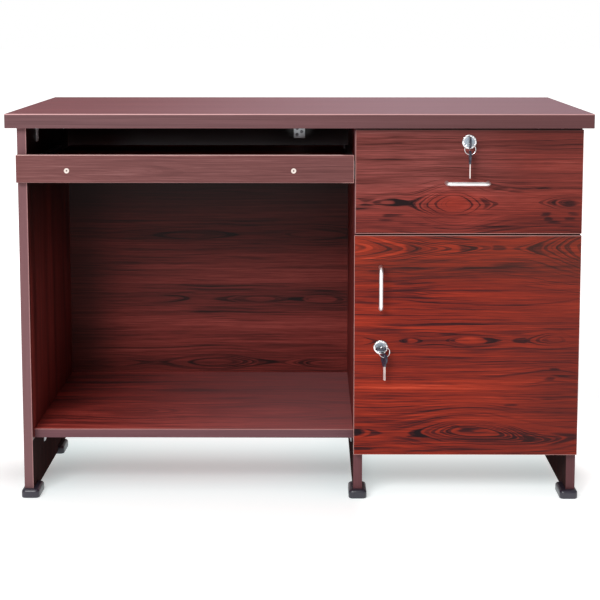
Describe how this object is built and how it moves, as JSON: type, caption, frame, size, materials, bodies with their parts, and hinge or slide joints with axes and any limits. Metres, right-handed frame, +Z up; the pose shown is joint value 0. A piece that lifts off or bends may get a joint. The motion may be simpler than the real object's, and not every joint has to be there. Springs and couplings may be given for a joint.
{
  "type": "computer desk",
  "caption": "Pedestal computer desk in wood laminate: desktop on upright panels, sliding keyboard tray over a knee space with footrest shelf, locking drawer over locking cupboard.",
  "frame": {"origin": "middle of the bounding box at floor level", "axes": "+X to the right seen from the front, the drawer and door face -Y, +Z up"},
  "size_m": [1.14, 0.677, 0.767],
  "materials": {
    "rosewood_laminate": "printed red-brown rosewood figure under a satin clear coat",
    "edge_strip": "mauve-brown plastic edge strip",
    "raw_board": "plain pale board and hardboard",
    "black_plastic": "moulded black plastic shoe",
    "key_plastic": "black plastic bow on a steel blade",
    "black_screw": "blackened screw",
    "white_screw": "white-coated domed screw head",
    "chrome": "bright chrome plating",
    "lock_metal": "dull nickel",
    "zinc_steel": "zinc-plated steel"
  },
  "bodies": {
    "carcass": {"desktop": "rosewood_laminate", "desktop_edging": "edge_strip", "left_panel": "rosewood_laminate", "partition": "rosewood_laminate", "right_panel": "rosewood_laminate", "panel_edging": "edge_strip", "knee_back": "rosewood_laminate", "footrest_shelf": "rosewood_laminate", "shelf_edging": "edge_strip", "cabinet_floor": "rosewood_laminate", "cabinet_rail": "rosewood_laminate", "cabinet_back": "raw_board", "carcass_dowels": "raw_board", "feet": "black_plastic", "foot_nails": "zinc_steel", "corner_brackets": "zinc_steel", "bracket_screws": "zinc_steel", "perforated_bracket": "zinc_steel", "perforated_bracket_screws": "black_screw", "tray_rail_outers": "zinc_steel", "drawer_rail_outers": "zinc_steel", "rail_and_hinge_screws": "zinc_steel", "lock_strikes": "zinc_steel", "hinge_arms": "zinc_steel"},
    "tray": {"tray_board": "rosewood_laminate", "tray_front": "rosewood_laminate", "tray_front_edging": "edge_strip", "tray_front_screws": "white_screw", "tray_rail_inners": "zinc_steel", "tray_runner_screws": "zinc_steel"},
    "tray_mid": {"tray_rail_mids": "zinc_steel"},
    "drawer": {"drawer_front": "rosewood_laminate", "drawer_front_edging": "edge_strip", "drawer_sides": "raw_board", "drawer_back": "raw_board", "drawer_bottom": "raw_board", "drawer_dowels": "raw_board", "drawer_handle": "chrome", "drawer_screws": "zinc_steel", "drawer_lock_case": "lock_metal", "drawer_lock_rose": "chrome", "drawer_rail_inners": "zinc_steel"},
    "drawer_mid": {"drawer_rail_mids": "zinc_steel"},
    "drawer_plug": {"drawer_lock_plug": "lock_metal", "drawer_lock_cam": "zinc_steel", "drawer_key": "key_plastic"},
    "drawer_ring": {"drawer_key_ring": "chrome"},
    "drawer_spare": {"drawer_spare_key": "key_plastic"},
    "door": {"door_panel": "rosewood_laminate", "door_edging": "edge_strip", "door_handle": "chrome", "door_screws": "zinc_steel", "door_lock_case": "lock_metal", "door_lock_rose": "chrome", "hinge_cups": "zinc_steel"},
    "door_plug": {"door_lock_plug": "lock_metal", "door_lock_cam": "zinc_steel", "door_key": "key_plastic"},
    "door_ring": {"door_key_ring": "chrome"},
    "door_spare": {"door_spare_key": "key_plastic"}
  },
  "joints": [
    {"name": "tray_slide", "type": "slide", "parent": "carcass", "child": "tray", "axis": [0, -1, 0], "range_m": [0, 0.3]},
    {"name": "tray_mid_slide", "type": "slide", "parent": "carcass", "child": "tray_mid", "axis": [0, -1, 0], "range_m": [0, 0.15]},
    {"name": "drawer_slide", "type": "slide", "parent": "carcass", "child": "drawer", "axis": [0, -1, 0], "range_m": [0, 0.35]},
    {"name": "drawer_mid_slide", "type": "slide", "parent": "carcass", "child": "drawer_mid", "axis": [0, -1, 0], "range_m": [0, 0.175]},
    {"name": "door_hinge", "type": "hinge", "parent": "carcass", "child": "door", "pos_m": [0.55, -0.3085, 0.31125], "axis": [0, 0, 1], "range_deg": [0, 95]},
    {"name": "drawer_key_turn", "type": "hinge", "parent": "drawer", "child": "drawer_plug", "pos_m": [0.329, -0.3085, 0.713], "axis": [0, -1, 0], "range_deg": [0, 90]},
    {"name": "drawer_ring_swing", "type": "hinge", "parent": "drawer_plug", "child": "drawer_ring", "pos_m": [0.329, -0.327, 0.7109], "axis": [1, 0, 0], "range_deg": [-60, 5]},
    {"name": "drawer_spare_swing", "type": "hinge", "parent": "drawer_ring", "child": "drawer_spare", "pos_m": [0.329, -0.327, 0.6897], "axis": [1, 0, 0], "range_deg": [-60, 6]},
    {"name": "door_key_turn", "type": "hinge", "parent": "door", "child": "door_plug", "pos_m": [0.16, -0.3085, 0.309], "axis": [0, -1, 0], "range_deg": [0, 90]},
    {"name": "door_ring_swing", "type": "hinge", "parent": "door_plug", "child": "door_ring", "pos_m": [0.1664, -0.327, 0.309], "axis": [1, 0, 0], "range_deg": [-20, 5]},
    {"name": "door_spare_swing", "type": "hinge", "parent": "door_ring", "child": "door_spare", "pos_m": [0.1664, -0.327, 0.2924], "axis": [1, 0, 0], "range_deg": [-30, 6]}
  ],
  "couplings": [
    {"joint": "tray_mid_slide", "follows": "tray_slide", "ratio": 0.5},
    {"joint": "drawer_mid_slide", "follows": "drawer_slide", "ratio": 0.5}
  ]
}
